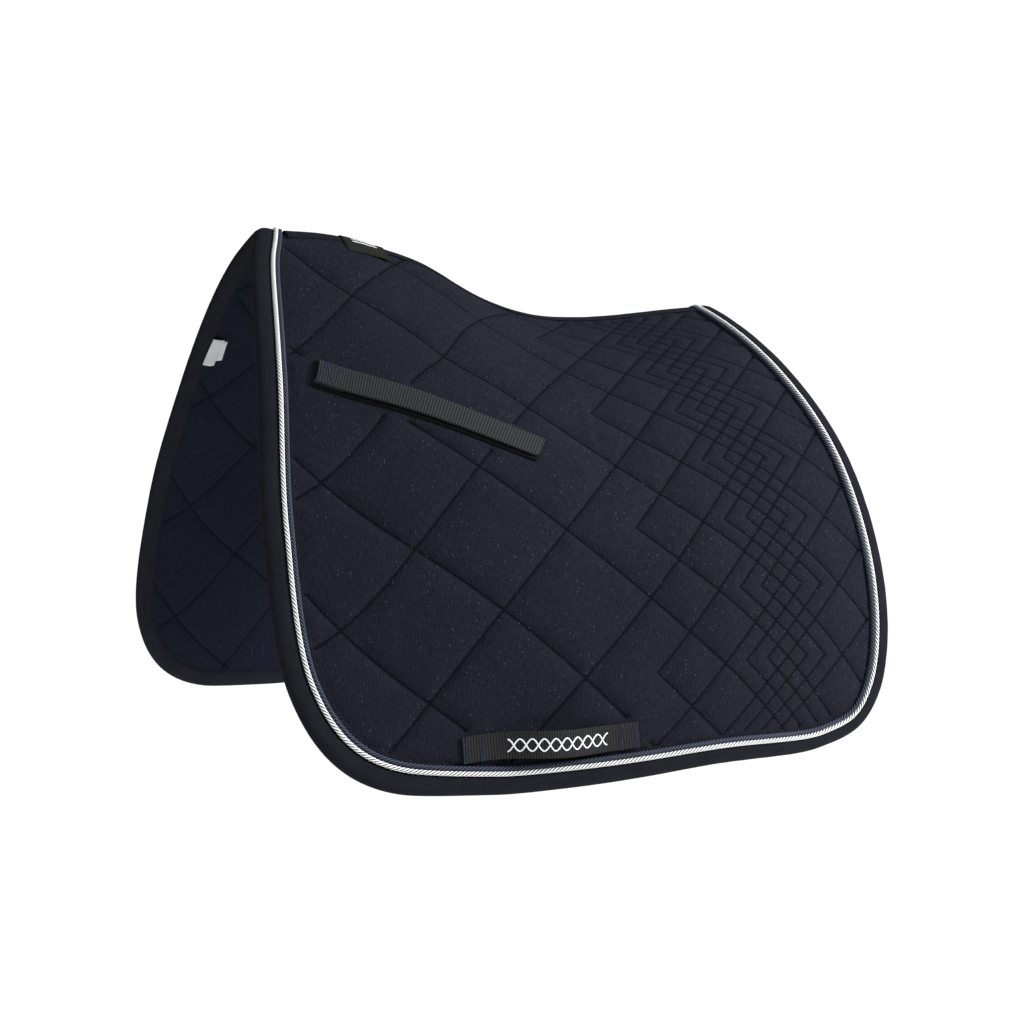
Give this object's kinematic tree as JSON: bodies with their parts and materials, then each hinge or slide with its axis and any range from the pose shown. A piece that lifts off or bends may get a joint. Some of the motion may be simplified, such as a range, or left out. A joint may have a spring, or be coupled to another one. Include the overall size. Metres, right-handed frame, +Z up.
{
  "type": "saddle pad",
  "caption": "Quilted saddle pad shaped over a horse's back, with piped and bound edges, billet straps that peel open and girth loops.",
  "frame": {"origin": "on the underside of the spine seam, half way between the front and rear ends of the pad's spine", "axes": "+X towards the horse's tail, +Y towards the horse's right side, +Z up"},
  "size_m": [0.5526, 0.6198, 0.4737],
  "materials": {
    "navy_cotton": "matte ribbed cotton with fine sparkle",
    "wadding_fill": "soft polyester wadding",
    "navy_lining": "matte smooth cotton",
    "navy_tape": "matte woven tape",
    "white_cord": "satin twisted cord",
    "navy_cord": "satin twisted cord",
    "black_tape": "matte hook-and-loop tape",
    "charcoal_webbing": "matte cross-ribbed webbing",
    "blue_thread": "satin thread",
    "black_webbing": "matte cross-ribbed webbing",
    "white_thread": "satin thread",
    "black_label": "matte woven label",
    "white_satin": "satin"
  },
  "bodies": {
    "pad": {"left_cover": "navy_cotton", "right_cover": "navy_cotton", "left_wadding": "wadding_fill", "right_wadding": "wadding_fill", "left_lining": "navy_lining", "right_lining": "navy_lining", "spine_tape_top": "navy_tape", "spine_tape_under": "navy_tape", "edge_binding": "navy_tape", "white_piping": "white_cord", "navy_piping": "navy_cord", "left_strap_base": "black_tape", "right_strap_base": "black_tape", "left_strap_sewn_end": "charcoal_webbing", "right_strap_sewn_end": "charcoal_webbing", "left_strap_stitching": "blue_thread", "right_strap_stitching": "blue_thread", "left_loop_stitching": "blue_thread", "right_loop_stitching": "blue_thread", "left_girth_loop": "black_webbing", "right_girth_loop": "black_webbing", "left_loop_motif": "white_thread", "right_loop_motif": "white_thread", "spine_label_marks": "white_thread", "spine_label": "black_label", "care_label_front": "white_satin", "care_label_rear": "white_satin"},
    "left_strap": {"left_billet_strap": "charcoal_webbing", "left_strap_hook_tape": "black_tape"},
    "right_strap": {"right_billet_strap": "charcoal_webbing", "right_strap_hook_tape": "black_tape"}
  },
  "joints": [
    {"name": "left_strap_hinge", "type": "hinge", "parent": "pad", "child": "left_strap", "pos_m": [-0.20814, -0.14199, -0.06836], "axis": [-0.52, -0.3632, -0.7731], "range_deg": [0, 140]},
    {"name": "right_strap_hinge", "type": "hinge", "parent": "pad", "child": "right_strap", "pos_m": [-0.20814, 0.14199, -0.06836], "axis": [0.52, -0.3632, 0.7731], "range_deg": [0, 140]}
  ]
}
